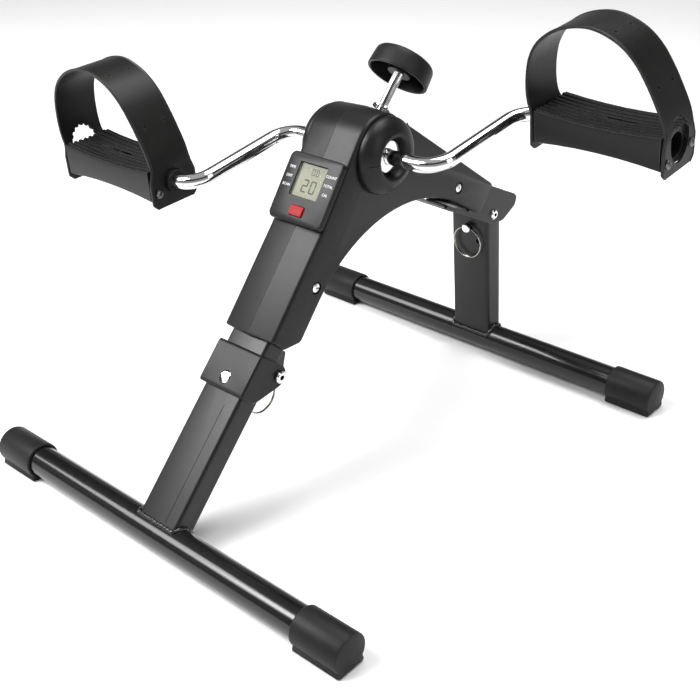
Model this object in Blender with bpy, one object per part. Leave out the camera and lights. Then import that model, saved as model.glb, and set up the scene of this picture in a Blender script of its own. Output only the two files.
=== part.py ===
"""Folding pedal exerciser, built as separate pieces.

Drawing frame, millimetres: X runs along the floor bars (to the user's right),
Y runs from the front, display side to the rear, Z is up and the floor is z = 0.
Shapes are drawn in the side plane (y, z); every piece is then moved by SHIFT_Y,
which centres the footprint on the origin, and scaled to metres.
"""
import bpy
import bmesh
import math
from mathutils import Matrix, Vector

MM = 0.001
SHIFT_Y = 13.4
CLEAR = 0.3

# ---- driving dimensions, mm -------------------------------------------------
HUB = (18.5, 246.0)              # crank axis in the side plane
BODY_HALF = 26.0                 # housing half width
WALL = 2.4
DRAFT = 1.0                      # housing outline shrinks by this at the sides
ARCH_C, ARCH_R = (39.5, 64.8), 130.0

BAR_R, BAR_WALL, BAR_HALF = 12.7, 1.5, 187.0
CAP_R, CAP_LEN, CAP_END = 15.0, 42.6, 191.0
FRONT_BAR = (-214.9, 14.5)
REAR_BAR = (178.2, 14.5)

LEG_W, LEG_D, LEG_WALL = 20.0, 10.0, 1.5      # half width, half depth
FRONT_ANGLE = math.radians(45.4)
FRONT_PIVOT = (144.1, -13.2)     # along and across the front leg line
FRONT_PIN_S = 125.8
REAR_PIVOT = (167.4, 145.6)
REAR_TOP = 155.6
REAR_PIN_Z = 129.6
RING_R, RING_WIRE = 14.5, 1.15

CRANK_R, ROD_R, CRANK_ANGLE = 100.0, 5.8, math.radians(11.2)
BEND_X0, BEND_X1, BEND_R = 76.0, 84.0, 20.0
PEDAL_IN, PEDAL_OUT, PLATE = 109.3, 213.7, 3.2
PEDAL_HALF_W, PEDAL_HALF_H, PEDAL_SAG = 22.0, 13.8, 3.0
STRAP_HALF_W, STRAP_T = 19.5, 2.4
PEDAL_TILT = {"right": math.radians(5.0), "left": math.radians(2.0)}

STUD_DIR = (0.700, 0.714)
STUD_OFF = 3.7
KNOB_R, KNOB_H, KNOB_AT = 25.5, 17.5, 64.8

CONSOLE_C = (-41.5, 231.55)     # middle of the display face
CONSOLE_U = (0.599, 0.8007)      # up the slope
CONSOLE_N = (-0.8007, 0.599)     # out of the face
CONSOLE_HALF, CONSOLE_LEN, CONSOLE_H = 26.7, 26.7, 5.0


# ---- small helpers ----------------------------------------------------------
def clear_scene():
    for ob in list(bpy.data.objects):
        bpy.data.objects.remove(ob)


def material(name, colour, rough, metal=0.0):
    mat = bpy.data.materials.new(name)
    mat.use_nodes = True
    shader = mat.node_tree.nodes["Principled BSDF"]
    shader.inputs["Base Color"].default_value = (*colour, 1.0)
    shader.inputs["Roughness"].default_value = rough
    shader.inputs["Metallic"].default_value = metal
    mat.diffuse_color = (*colour, 1.0)
    return mat


LOOKS = {
    "paint": ((0.035, 0.036, 0.038), 0.38, 0.0),
    "shell": ((0.045, 0.046, 0.048), 0.45, 0.0),
    "cap": ((0.03, 0.03, 0.032), 0.55, 0.0),
    "pedal": ((0.018, 0.018, 0.018), 0.42, 0.0),
    "strap": ((0.02, 0.02, 0.019), 0.5, 0.0),
    "chrome": ((0.82, 0.82, 0.83), 0.12, 1.0),
    "steel": ((0.6, 0.6, 0.6), 0.35, 1.0),
    "red": ((0.72, 0.06, 0.05), 0.4, 0.0),
    "lens": ((0.62, 0.66, 0.55), 0.15, 0.0),
    "board": ((0.05, 0.22, 0.1), 0.5, 0.0),
    "felt": ((0.25, 0.2, 0.15), 0.95, 0.0),
}


def make(name, bm, look, pivot=(0.0, 0.0, 0.0), smooth=True):
    """Turn a drawing-frame bmesh into an object whose origin is the pivot."""
    bmesh.ops.remove_doubles(bm, verts=bm.verts, dist=1e-4)
    bmesh.ops.recalc_face_normals(bm, faces=bm.faces)
    piv = Vector((pivot[0], pivot[1] + SHIFT_Y, pivot[2]))
    for v in bm.verts:
        v.co = (v.co + Vector((0.0, SHIFT_Y, 0.0)) - piv) * MM
    mesh = bpy.data.meshes.new(name)
    bm.to_mesh(mesh)
    bm.free()
    if smooth:
        mesh.shade_smooth()
        mesh.set_sharp_from_angle(angle=math.radians(32.0))
    ob = bpy.data.objects.new(name, mesh)
    ob.location = piv * MM
    bpy.context.collection.objects.link(ob)
    colour, rough, metal = LOOKS[look]
    mesh.materials.append(material(name, colour, rough, metal))
    return ob


def cut(ob, *cutters, op="DIFFERENCE"):
    """Subtract (or add) each hidden cutter with an exact boolean."""
    for bm in cutters:
        tool = make("cut_%s_%d" % (ob.name, len(ob.modifiers)), bm, "paint", smooth=False)
        tool.hide_render = True
        tool.display_type = "WIRE"
        tool.hide_viewport = False
        mod = ob.modifiers.new("cut", "BOOLEAN")
        mod.operation = op
        mod.solver = "EXACT"
        mod.object = tool
    return ob


def add_faces(bm, rings, closed=False):
    """Quads between successive rings; flat end faces unless the loft closes on itself."""
    loops = [[bm.verts.new(p) for p in ring] for ring in rings]
    count = len(loops[0])
    pairs = list(zip(loops, loops[1:]))
    if closed:
        pairs.append((loops[-1], loops[0]))
    for a, b in pairs:
        for i in range(count):
            j = (i + 1) % count
            bm.faces.new((a[i], a[j], b[j], b[i]))
    if not closed:
        bm.faces.new(loops[0])
        bm.faces.new(loops[-1])
    return bm


def loft(rings, closed=False):
    return add_faces(bmesh.new(), rings, closed)


def fillet(corners, seg=5):
    """Rounded polygon from corners (y, z, radius)."""
    pts = []
    n = len(corners)
    for i in range(n):
        p = Vector(corners[i][:2])
        r = corners[i][2]
        a = (Vector(corners[i - 1][:2]) - p).normalized()
        b = (Vector(corners[(i + 1) % n][:2]) - p).normalized()
        half = math.acos(max(-1.0, min(1.0, a.dot(b)))) / 2.0
        if r <= 0.0 or half > math.radians(89.0):
            pts.append(tuple(p))
            continue
        mid = p + (a + b).normalized() * (r / math.sin(half))
        s = p + a * (r / math.tan(half)) - mid
        e = p + b * (r / math.tan(half)) - mid
        turn = math.atan2(s.x * e.y - s.y * e.x, s.dot(e))
        fine = seg + min(8, int(r / 16.0)) if r > 20.0 else seg
        steps = max(2, int(fine * abs(turn) / (math.pi / 2.0)) + 1)
        for k in range(steps + 1):
            t = turn * k / steps
            pts.append((mid.x + s.x * math.cos(t) - s.y * math.sin(t),
                        mid.y + s.x * math.sin(t) + s.y * math.cos(t)))
    return pts


def inset(corners, d):
    """Corner list moved inwards by d (outwards when negative), radii following."""
    n = len(corners)
    area = sum(corners[i][0] * corners[(i + 1) % n][1] - corners[(i + 1) % n][0] * corners[i][1]
               for i in range(n))
    side = 1.0 if area > 0.0 else -1.0
    out = []
    for i in range(n):
        p = Vector(corners[i][:2])
        a = (p - Vector(corners[i - 1][:2])).normalized()
        b = (Vector(corners[(i + 1) % n][:2]) - p).normalized()
        na = Vector((-a.y, a.x)) * side
        nb = Vector((-b.y, b.x)) * side
        k = (na + nb)
        k = k / max(1e-6, k.dot(na))
        q = p + k * d
        convex = (a.x * b.y - a.y * b.x) * side > 0.0
        r = corners[i][2]
        r = max(0.3, r - d) if convex else max(0.3, r + d)
        out.append((q.x, q.y, r))
    return out


def slab(poly, x0, x1):
    return loft([[(x0, y, z) for y, z in poly], [(x1, y, z) for y, z in poly]])


def box(lo, hi):
    return slab([(lo[1], lo[2]), (hi[1], lo[2]), (hi[1], hi[2]), (lo[1], hi[2])], lo[0], hi[0])


def turned(profile, base, axis, seg=24, ring=False):
    """Profile of (along, radius) swept round an axis through base.

    ring: the profile is a closed section that stays off the axis."""
    axis = Vector(axis).normalized()
    side = axis.orthogonal().normalized()
    up = axis.cross(side)
    base = Vector(base)
    bm = bmesh.new()
    loops = []
    for a, r in profile:
        if r < 1e-6:
            loops.append([bm.verts.new(base + axis * a)])
            continue
        loops.append([bm.verts.new(base + axis * a + side * (r * math.cos(2 * math.pi * k / seg))
                                   + up * (r * math.sin(2 * math.pi * k / seg))) for k in range(seg)])
    pairs = list(zip(loops, loops[1:]))
    if ring:
        pairs.append((loops[-1], loops[0]))
    for a, b in pairs:
        for i in range(seg):
            j = (i + 1) % seg
            if len(a) == 1:
                bm.faces.new((a[0], b[j], b[i]))
            elif len(b) == 1:
                bm.faces.new((a[i], a[j], b[0]))
            else:
                bm.faces.new((a[i], a[j], b[j], b[i]))
    return bm


def rod(x0, x1, centre, radius, seg=24):
    return turned([(x0, 0), (x0, radius), (x1, radius), (x1, 0)],
                  (0.0, centre[0], centre[1]), (1, 0, 0), seg)


def pipe(path, radius, seg=12):
    """Round bar along a path that stays in one plane."""
    rings = []
    pts = [Vector(p) for p in path]
    ref = None
    for i, p in enumerate(pts):
        d = (pts[min(i + 1, len(pts) - 1)] - pts[max(i - 1, 0)]).normalized()
        if ref is None:
            ref = d.orthogonal().normalized()
        ref = (ref - d * ref.dot(d)).normalized()
        other = d.cross(ref)
        rings.append([tuple(p + (ref * math.cos(2 * math.pi * k / seg)
                                 + other * math.sin(2 * math.pi * k / seg)) * radius)
                      for k in range(seg)])
    return loft(rings)


def torus(centre, u, v, radius, wire, seg=22, sides=6):
    """Closed wire ring in the plane of u and v."""
    centre, u, v = Vector(centre), Vector(u).normalized(), Vector(v).normalized()
    w = u.cross(v)
    rings = []
    for k in range(seg):
        a = 2 * math.pi * k / seg
        out = u * math.cos(a) + v * math.sin(a)
        rings.append([tuple(centre + out * (radius + wire * math.cos(2 * math.pi * j / sides))
                            + w * (wire * math.sin(2 * math.pi * j / sides))) for j in range(sides)])
    return loft(rings, closed=True)


# ---- places along the front leg line ----------------------------------------
FD = (math.cos(FRONT_ANGLE), math.sin(FRONT_ANGLE))
FN = (-FD[1], FD[0])


def front(s, n):
    return (FRONT_BAR[0] + s * FD[0] + n * FN[0], FRONT_BAR[1] + s * FD[1] + n * FN[1])


RU = Vector((172.9 - REAR_BAR[0], 145.6 - REAR_BAR[1])).normalized()
RN = Vector((-RU.y, RU.x))       # points to the front, out of the rear leg's face


def rear(s, n):
    return (REAR_BAR[0] + s * RU.x + n * RN.x, REAR_BAR[1] + s * RU.y + n * RN.y)


def tube_rings(place, s0, s1):
    """Rectangular tube rings: outer up, inner back down."""
    outer = fillet([(-LEG_W, -LEG_D, 3.0), (LEG_W, -LEG_D, 3.0), (LEG_W, LEG_D, 3.0), (-LEG_W, LEG_D, 3.0)], 3)
    w, d = LEG_W - LEG_WALL, LEG_D - LEG_WALL
    inner = fillet([(-w, -d, 1.5), (w, -d, 1.5), (w, d, 1.5), (-w, d, 1.5)], 3)
    def ring(poly, s):
        return [(x, *place(s, n)) for x, n in poly]
    return [ring(outer, s0), ring(outer, s1), ring(inner, s1), ring(inner, s0)]


# ---- floor bars, caps and legs ----------------------------------------------
def floor_bars():
    prof = [(-BAR_HALF, BAR_R), (BAR_HALF, BAR_R), (BAR_HALF, BAR_R - BAR_WALL), (-BAR_HALF, BAR_R - BAR_WALL)]
    for name, c in (("front_floor_bar", FRONT_BAR), ("rear_floor_bar", REAR_BAR)):
        make(name, turned(prof, (0, *c), (1, 0, 0), 24, ring=True), "paint")


def cap_poly(radius, shift=0.0):
    """D section: round on top, flat on the floor."""
    a0 = math.radians(-38.0)
    pts = [(radius * math.cos(a), radius * math.sin(a))
           for a in [a0 + (math.pi - 2 * a0) * k / 22 for k in range(23)]]
    low = -FRONT_BAR[1] + shift
    return pts + [(-radius * 0.86, low + 1.0), (-radius * 0.78, low), (radius * 0.78, low), (radius * 0.86, low + 1.0)]


def end_caps():
    for name, c, side in (("front_cap_left", FRONT_BAR, -1), ("front_cap_right", FRONT_BAR, 1),
                          ("rear_cap_left", REAR_BAR, -1), ("rear_cap_right", REAR_BAR, 1)):
        rings = []
        for x, r, lift in ((CAP_END - CAP_LEN, CAP_R - 0.7, 0.0), (CAP_END - CAP_LEN + 0.8, CAP_R, 0.0),
                           (CAP_END - 1.6, CAP_R, 0.0), (CAP_END - 0.5, CAP_R - 0.5, 0.4),
                           (CAP_END, CAP_R - 1.7, 1.4)):
            rings.append([(side * x, c[0] + y, c[1] + z) for y, z in cap_poly(r, lift)])
        ob = make(name, loft(rings), "cap")
        x0, x1 = CAP_END - CAP_LEN - 1.0, BAR_HALF + 0.4
        cut(ob, rod(min(side * x0, side * x1), max(side * x0, side * x1), c, BAR_R + CLEAR, 28))


def front_leg():
    seam = FRONT_PIVOT[0]
    ob = make("front_leg_tube", loft(tube_rings(front, 6.0, seam - 0.6), closed=True), "paint")
    cut(ob, rod(-25, 25, FRONT_BAR, BAR_R + CLEAR, 28), rod(-25, 25, front(*FRONT_PIVOT), 7.2, 20))
    cut(ob, turned([(-25, 0), (-25, 5.2), (25, 5.2), (25, 0)], (0, *front(FRONT_PIN_S, 0)), (0, *FN), 20))

    block = [(116.0, 14.6, 2.5), (151.3, 14.6, 2.5), (153.2, -21.4, 8.6), (138.6, -21.4, 8.6),
             (120.5, -6.5, 6.0), (116.0, -2.0, 4.0)]
    outer = [front(s, n) for s, n in fillet(block, 5)]
    inner = [front(s, n) for s, n in fillet(inset(block, 1.4), 5)]
    rings = [[(x, *p) for p in poly] for x, poly in ((-23.6, inner), (-22.2, outer), (22.2, outer), (23.6, inner))]
    ob = make("front_hinge_block", loft(rings), "shell")
    channel = [front(s, n) for s, n in ((110, -30), (160, -30), (160, 10.35), (110, 10.35))]
    cut(ob, slab(channel, -20.4, 20.4))
    cut(ob, rod(-30, 30, front(*FRONT_PIVOT), 3.2, 16))
    cut(ob, turned([(5, 0), (5, 5.3), (20, 5.3), (20, 0)], (0, *front(FRONT_PIN_S, 0)), (0, *FN), 20))

    bolt = [(-26.4, 0), (-26.4, 3.6), (-25.6, 4.6), (-24.0, 4.6), (-24.0, 2.8), (24.0, 2.8), (24.0, 5.0),
            (26.0, 5.0), (26.9, 3.8), (26.9, 2.2), (25.6, 2.0), (25.6, 0)]
    make("front_pivot_bolt", turned(bolt, (0, *front(*FRONT_PIVOT)), (1, 0, 0), 14), "chrome",
         (0, *front(*FRONT_PIVOT)))

    tail = -18.3
    pin = [(-22.0, 0), (-22.0, 2.6), (-21.2, 3.5), (-11.8, 3.5), (-11.0, 4.9), (14.3, 4.9), (15.2, 4.0), (15.5, 0)]
    ob = make("front_lock_pin", turned(pin, (0, *front(FRONT_PIN_S, 0)), (0, *FN), 14), "chrome",
              (0, *front(FRONT_PIN_S, tail)))
    cut(ob, turned([(-9, 0), (-9, 1.9), (9, 1.9), (9, 0)], (0, *front(FRONT_PIN_S, tail)), (0, *FD), 12))
    centre = front(FRONT_PIN_S, tail - RING_R)
    make("front_pull_ring", torus((0, *centre), (0, *FD), (0, *FN), RING_R, RING_WIRE), "chrome",
         (0, *front(FRONT_PIN_S, tail)))


def rear_leg():
    s_top = (REAR_TOP - REAR_BAR[1]) / RU.y
    pin_s = (REAR_PIN_Z - REAR_BAR[1]) / RU.y
    ob = make("rear_leg_tube", loft(tube_rings(rear, 6.0, s_top), closed=True), "paint")
    cut(ob, rod(-25, 25, REAR_BAR, BAR_R + CLEAR, 28), rod(-25, 25, REAR_PIVOT, 3.2, 16))
    cut(ob, turned([(-25, 0), (-25, 3.6), (25, 3.6), (25, 0)], (0, *rear(pin_s, 0)), (0, *RN), 16))

    screw = [(-25.6, 0), (-25.6, 3.6), (-25.0, 4.4), (-23.5, 4.4), (-23.5, 2.8), (23.5, 2.8), (23.5, 4.6),
             (24.6, 4.4), (25.5, 3.4), (25.8, 0)]
    make("rear_pivot_bolt", turned(screw, (0, *REAR_PIVOT), (1, 0, 0), 14), "chrome", (0, *REAR_PIVOT))

    eye = 13.2
    pin = [(-11.6, 0), (-11.6, 2.6), (-11.0, 3.3), (10.3, 3.3), (10.3, 4.2), (15.6, 4.2), (16.4, 3.4), (16.4, 0)]
    ob = make("rear_lock_pin", turned(pin, (0, *rear(pin_s, 0)), (0, *RN), 14), "chrome",
              (0, *rear(pin_s, eye)))
    cut(ob, rod(-8, 8, rear(pin_s, eye), 2.0, 12))
    make("rear_pull_ring", torus((0, *rear(pin_s - RING_R, eye)), (1, 0, 0), (0, *RU), RING_R, RING_WIRE),
         "chrome", (0, *rear(pin_s, eye)))


# ---- frame ------------------------------------------------------------------
LOWER = (Vector((99.6, 173.7)), Vector((0.878, -0.479)), Vector((0.479, 0.878)))


def on_bracket(t, up):
    p = LOWER[0] + LOWER[1] * t + LOWER[2] * up
    return (p.x, p.y)


def bracket_corners():
    return [(*on_bracket(0, 0), 0.6), (166.0, 136.6, 12.0), (182.5, 134.8, 8.0), (200.6, 143.6, 5.0),
            (203.2, 151.2, 3.0), (198.6, 155.2, 3.0), (*on_bracket(50, 30.6), 0.6), (*on_bracket(33, 3.0), 0.6),
            (*on_bracket(1.5, 3.0), 0.6)]


def bracket():
    poly = fillet(bracket_corners(), 4)
    ob = make("rear_bracket", slab(poly, -23.2, 23.2), "paint")
    hollow = [on_bracket(-8, -20), on_bracket(125, -20), on_bracket(125, 28.0), on_bracket(-8, 28.0)]
    cut(ob, slab(hollow, -20.6, 20.6))
    cut(ob, rod(-30, 30, REAR_PIVOT, 3.1, 16))
    plate = [on_bracket(0.4, 0.3), on_bracket(37, 0.3), on_bracket(37, 2.3), on_bracket(0.4, 2.3)]
    make("rear_bracket_plate", slab(plate, -20.3, 20.3), "steel")


def frame_tubes():
    seam = FRONT_PIVOT[0]
    ob = make("frame_front_tube", loft(tube_rings(front, seam + 0.6, 300.0), closed=True), "paint")
    cut(ob, rod(-25, 25, front(*FRONT_PIVOT), 7.2, 20), rod(-25, 25, SCREWS[0], 2.3, 14))
    lug = [(seam - 6.5, -10.4, 2.0), (163.0, -10.4, 0.6), (163.0, -14.0, 1.5), (152.0, -19.9, 6.0),
           (seam - 6.5, -19.9, 6.3)]
    ob = make("front_hinge_lug", slab([front(s, n) for s, n in fillet(lug, 5)], -18.0, 18.0), "paint")
    cut(ob, rod(-18, 18, front(*FRONT_PIVOT), 6.5, 20), op="UNION")
    cut(ob, rod(-22, 22, front(*FRONT_PIVOT), 3.1, 16))

    ends = [on_bracket(-64.0, 18.8), on_bracket(51.0, 18.8)]
    n = LOWER[2]
    rings = []
    outer = fillet([(-18, -8, 2.5), (18, -8, 2.5), (18, 8, 2.5), (-18, 8, 2.5)], 2)
    inner = fillet([(-16.5, -6.5, 1), (16.5, -6.5, 1), (16.5, 6.5, 1), (-16.5, 6.5, 1)], 2)
    for poly, e in ((outer, 0), (outer, 1), (inner, 1), (inner, 0)):
        rings.append([(x, ends[e][0] + k * n.x, ends[e][1] + k * n.y) for x, k in poly])
    ob = make("frame_rear_tube", loft(rings, closed=True), "steel")
    cut(ob, rod(-25, 25, SCREWS[1], 2.3, 14))

    web = [(-33.0, 211.0, 6), (-17.0, 195.0, 6), (18.0, 222.0, 20), (50.0, 206.0, 6), (60.0, 222.0, 6),
           (34.0, 258.0, 12), (8.0, 266.0, 12)]
    for name, side in (("bearing_plate_left", -1), ("bearing_plate_right", 1)):
        x = sorted((side * 20.4, side * 22.9))
        ob = make(name, slab(fillet(web, 4), *x), "steel")
        cut(ob, rod(min(x) - 2, max(x) + 2, HUB, 9.1, 20))
        sleeve = [(18.9, 6.1), (29.4, 6.1), (29.4, 8.7), (20.1, 8.7), (20.1, 11.0), (18.9, 11.0)]
        make(name.replace("bearing_plate", "crank_bushing"),
             turned([(side * a, r) for a, r in sleeve], (0, *HUB), (1, 0, 0), 16, ring=True), "steel")


# ---- housing ----------------------------------------------------------------
HOUSING = [(-111.8, 139.6, 2.0), (-54.7, 204.6, 60.0), (10.9, 291.8, 31.0), (164.8, 176.4, 4.0),
           (144.2, 152.6, 8.0), (16.6, 236.2, 130.0), (-80.2, 125.6, 7.0), (-98.6, 126.6, 4.0)]


def ring_at(poly, x):
    return [(x, y, z) for y, z in poly]


def housing():
    seg = 5
    mid = fillet(HOUSING, seg)
    side_face = fillet(inset(HOUSING, DRAFT), seg)
    edge = fillet(inset(HOUSING, DRAFT + 2.2), seg)
    in_mid = fillet(inset(HOUSING, WALL), seg)
    in_side = fillet(inset(HOUSING, WALL + DRAFT), seg)
    slot = inset(bracket_corners(), -0.6)
    console_hole = [(-14.0, -9.0), (15.0, -9.0), (15.0, 6.0), (-14.0, 6.0)]
    for name, s in (("housing_left", -1), ("housing_right", 1)):
        rings = [ring_at(mid, s * 0.15), ring_at(side_face, s * (BODY_HALF - 2.4)),
                 ring_at(fillet(inset(HOUSING, DRAFT + 0.7), seg), s * (BODY_HALF - 0.7)),
                 ring_at(edge, s * BODY_HALF)]
        ob = make(name, loft(rings), "shell")
        cut(ob, loft([ring_at(in_mid, -s * 1.0), ring_at(in_side, s * (BODY_HALF - WALL))]))
        cut(ob, rod(-30, 30, HUB, 9.2, 20))
        cut(ob, slab(fillet(slot, 4), -23.6, 23.6))
        tube = [front(q, n) for q, n in ((140, -10.4), (190, -10.4), (190, 10.4), (140, 10.4))]
        cut(ob, slab(tube, -20.4, 20.4))
        lug = [front(q, n) for q, n in ((140, -20.8), (168, -20.8), (168, -8), (140, -8))]
        cut(ob, slab(lug, -18.4, 18.4))
        at = stud_point(30.0)
        cut(ob, turned([(-14, 0), (-14, 4.5), (14, 4.5), (14, 0)], (0, *at), (0, *STUD_DIR), 20))
        cut(ob, slab([console_at(u, n - CONSOLE_H) for u, n in console_hole], -17.5, 17.5))
        for y, z in SCREWS:
            cut(ob, rod(-30, 30, (y, z), 2.2, 14))
            if s > 0:
                cut(ob, rod(24.2, 30, (y, z), 5.2, 20))

    dome = [(26.3, 27.6), (26.3, 30.2), (28.2, 30.2), (31.0, 29.4), (34.6, 26.4), (37.4, 22.0), (38.4, 18.2),
            (37.8, 16.2), (35.2, 14.6), (32.6, 13.4), (29.8, 13.2), (29.8, 16.0), (33.6, 19.0), (31.6, 25.2),
            (28.4, 27.4)]
    for name, s in (("hub_cover_left", -1), ("hub_cover_right", 1)):
        make(name, turned([(s * a, r) for a, r in dome], (0, *HUB), (1, 0, 0), 28, ring=True), "shell")


SCREWS = ((-61.5, 165.5), (113.1, 188.6))


def stud_point(t):
    return (HUB[0] + STUD_DIR[0] * t + STUD_DIR[1] * STUD_OFF, HUB[1] + STUD_DIR[1] * t - STUD_DIR[0] * STUD_OFF)


def console_at(u, n):
    return (CONSOLE_C[0] + CONSOLE_U[0] * u + CONSOLE_N[0] * n, CONSOLE_C[1] + CONSOLE_U[1] * u + CONSOLE_N[1] * n)


def housing_screws():
    for name, (y, z) in zip(("housing_screw_front", "housing_screw_rear"), SCREWS):
        body = [(-25.0, 0), (-25.0, 1.6), (-24.2, 1.9), (24.5, 1.9), (24.5, 3.9), (25.7, 3.6), (26.3, 2.4), (26.4, 0)]
        if name.endswith("front"):
            body = [(-25.0, 0), (-25.0, 1.6), (-24.2, 1.9)] + body[3:]
        make(name, turned(body, (0, y, z), (1, 0, 0), 12), "chrome")


# ---- display console --------------------------------------------------------
def console_slab(x0, x1, u0, u1, n0, n1, r=0.0, seg=3):
    """Block on the console face: x across, u up the slope, n out of the face."""
    poly = fillet([(x0, u0, r), (x1, u0, r), (x1, u1, r), (x0, u1, r)], seg)
    rings = []
    for n in (n0, n1):
        rings.append([(x, *console_at(u, n)) for x, u in poly])
    return loft(rings)


def console():
    h = CONSOLE_HALF
    rings = []
    for d, n in ((0.0, -CONSOLE_H), (0.0, -1.4), (0.5, -0.4), (1.5, 0.0)):
        poly = fillet([(-h + d, -h + d, 4.5), (h - d, -h + d, 4.5), (h - d, h - d, 4.5), (-h + d, h - d, 4.5)], 4)
        rings.append([(x, *console_at(u, n)) for x, u in poly])
    ob = make("console_case", loft(rings), "shell")
    cut(ob, console_slab(-24.4, 24.4, -24.4, 24.4, -8.0, -2.2, 3.0))
    cut(ob, console_slab(-14.0, 14.0, -6.6, 20.0, -5.0, 2.0, 1.0, 2))
    cut(ob, console_slab(-7.0, 7.0, -21.5, -12.9, -5.0, 2.0, 1.2, 2))

    make("display_lens", console_slab(-13.6, 13.6, -6.2, 19.6, -1.9, -0.7, 0.8, 2), "lens")
    make("lcd_panel", console_slab(-13.4, 13.4, -6.0, 19.4, -4.0, -2.5, 0.5, 2), "lens")
    make("circuit_board", console_slab(-16.6, 16.6, -12.0, 14.0, -6.6, -5.2, 0.8, 2), "board")
    make("battery", console_slab(-10.0, 10.0, -12.0, 12.0, -11.4, -7.2, 3.0, 3), "steel")
    rings = []
    for d, n in ((-0.9, -4.0), (-0.9, -3.0), (0.0, -3.0), (0.0, 1.0), (0.5, 1.5)):
        poly = fillet([(-6.6 + d, -21.1 + d, 1.0), (6.6 - d, -21.1 + d, 1.0), (6.6 - d, -13.3 - d, 1.0),
                       (-6.6 + d, -13.3 - d, 1.0)], 2)
        rings.append([(x, *console_at(u, n)) for x, u in poly])
    make("start_button", loft(rings), "red", (0, *console_at(-17.2, 0)))

    y, z = HUB[0] - 14.0, HUB[1] + 6.0
    make("speed_sensor", box((13.0, y - 4, z - 5), (18.0, y + 4, z + 5)), "cap")


# ---- crank and resistance ---------------------------------------------------
def crank_path():
    corners = [(-175.0, -CRANK_R, 0.0), (-BEND_X1, -CRANK_R, BEND_R), (-BEND_X0, 0.0, BEND_R),
               (BEND_X0, 0.0, BEND_R), (BEND_X1, CRANK_R, BEND_R), (175.0, CRANK_R, 0.0)]
    pts = [(corners[0][0], corners[0][1])]
    for i in range(1, 5):
        p, a, b = (Vector(corners[k][:2]) for k in (i, i - 1, i + 1))
        a, b = (a - p).normalized(), (b - p).normalized()
        half = math.acos(a.dot(b)) / 2.0
        mid = p + (a + b).normalized() * (BEND_R / math.sin(half))
        s = p + a * (BEND_R / math.tan(half)) - mid
        e = p + b * (BEND_R / math.tan(half)) - mid
        turn = math.atan2(s.x * e.y - s.y * e.x, s.dot(e))
        for k in range(7):
            t = turn * k / 6
            pts.append((mid.x + s.x * math.cos(t) - s.y * math.sin(t),
                        mid.y + s.x * math.sin(t) + s.y * math.cos(t)))
    pts.append((corners[-1][0], corners[-1][1]))
    c, s = math.cos(CRANK_ANGLE), math.sin(CRANK_ANGLE)
    return [(x, HUB[0] + r * c, HUB[1] + r * s) for x, r in pts]


def crank():
    ob = make("crankshaft", pipe(crank_path(), ROD_R, 12), "chrome", (0, *HUB))
    ob.location.x = 0.0
    drum = [(-8, 6.15), (8, 6.15), (8, 17.0), (-8, 17.0)]
    make("friction_drum", turned(drum, (0, *HUB), (1, 0, 0), 24, ring=True), "steel", (0, *HUB))
    make("crank_magnet", turned([(8.4, 0), (8.4, 2.5), (11.0, 2.5), (11.0, 0)], (0, HUB[0], HUB[1] + 12.0),
                                (1, 0, 0), 14), "steel", (0, *HUB))
    for name, s in (("crank_washer_left", -1), ("crank_washer_right", 1)):
        prof = [(30.2, 6.15), (31.6, 6.15), (31.9, 8.0), (31.6, 12.2), (30.2, 12.2)]
        make(name, turned([(s * a, r) for a, r in prof], (0, *HUB), (1, 0, 0), 20, ring=True), "chrome", (0, *HUB))


def band_outline():
    """Friction band with a square ear on the tension stud's side."""
    phi = math.atan2(STUD_DIR[1], STUD_DIR[0])
    pts = []
    for k in range(29):
        a = phi + math.radians(35.0 + 290.0 * k / 28)
        pts.append((HUB[0] + 20.2 * math.cos(a), HUB[1] + 20.2 * math.sin(a)))
    for t, m in ((26.8, STUD_OFF + 6.2), (26.8, STUD_OFF - 6.2)):
        pts.append((HUB[0] + STUD_DIR[0] * t + STUD_DIR[1] * m, HUB[1] + STUD_DIR[1] * t - STUD_DIR[0] * m))
    return pts


def resistance():
    ob = make("friction_band", slab(band_outline(), -7.0, 7.0), "felt")
    cut(ob, rod(-9, 9, HUB, 17.4, 32))
    cut(ob, turned([(20.6, 0), (20.6, 4.6), (40, 4.6), (40, 0)], (0, *stud_point(0)), (0, *STUD_DIR), 16))
    axis = (0, *STUD_DIR)
    base = (0, *stud_point(0))
    stud = [(25.0, 0), (25.0, 3.4), (25.8, 4.0), (76.0, 4.0), (76.8, 3.2), (76.8, 0)]
    make("tension_stud", turned(stud, base, axis, 16), "chrome", (0, *stud_point(KNOB_AT)))
    washer = [(36.9, 4.4), (38.2, 4.4), (38.2, 7.6), (36.9, 7.6)]
    make("tension_washer", turned(washer, base, axis, 20, ring=True), "chrome")
    a = KNOB_AT
    knob = [(a, KNOB_R - 0.2), (a + 1.0, KNOB_R), (a + 13.8, KNOB_R - 0.9), (a + 16.2, KNOB_R - 2.4),
            (a + KNOB_H, KNOB_R - 5.4), (a + KNOB_H + 0.2, 0), (a + 14.8, 0), (a + 14.8, 0)]
    outer = knob[:6]
    inner = [(a + 12.4, 0), (a + 12.4, 4.3), (a + 3.0, 4.3), (a + 3.0, 9.4), (a + 12.0, 10.4), (a + 14.4, 12.0),
             (a + 14.6, KNOB_R - 6.0), (a + 13.0, KNOB_R - 3.2), (a + 0.6, KNOB_R - 2.4), (a, KNOB_R - 2.2)]
    make("tension_knob", turned(list(reversed(outer)) + list(reversed(inner)), base, axis, 30), "shell",
         (0, *stud_point(KNOB_AT)))


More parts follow.
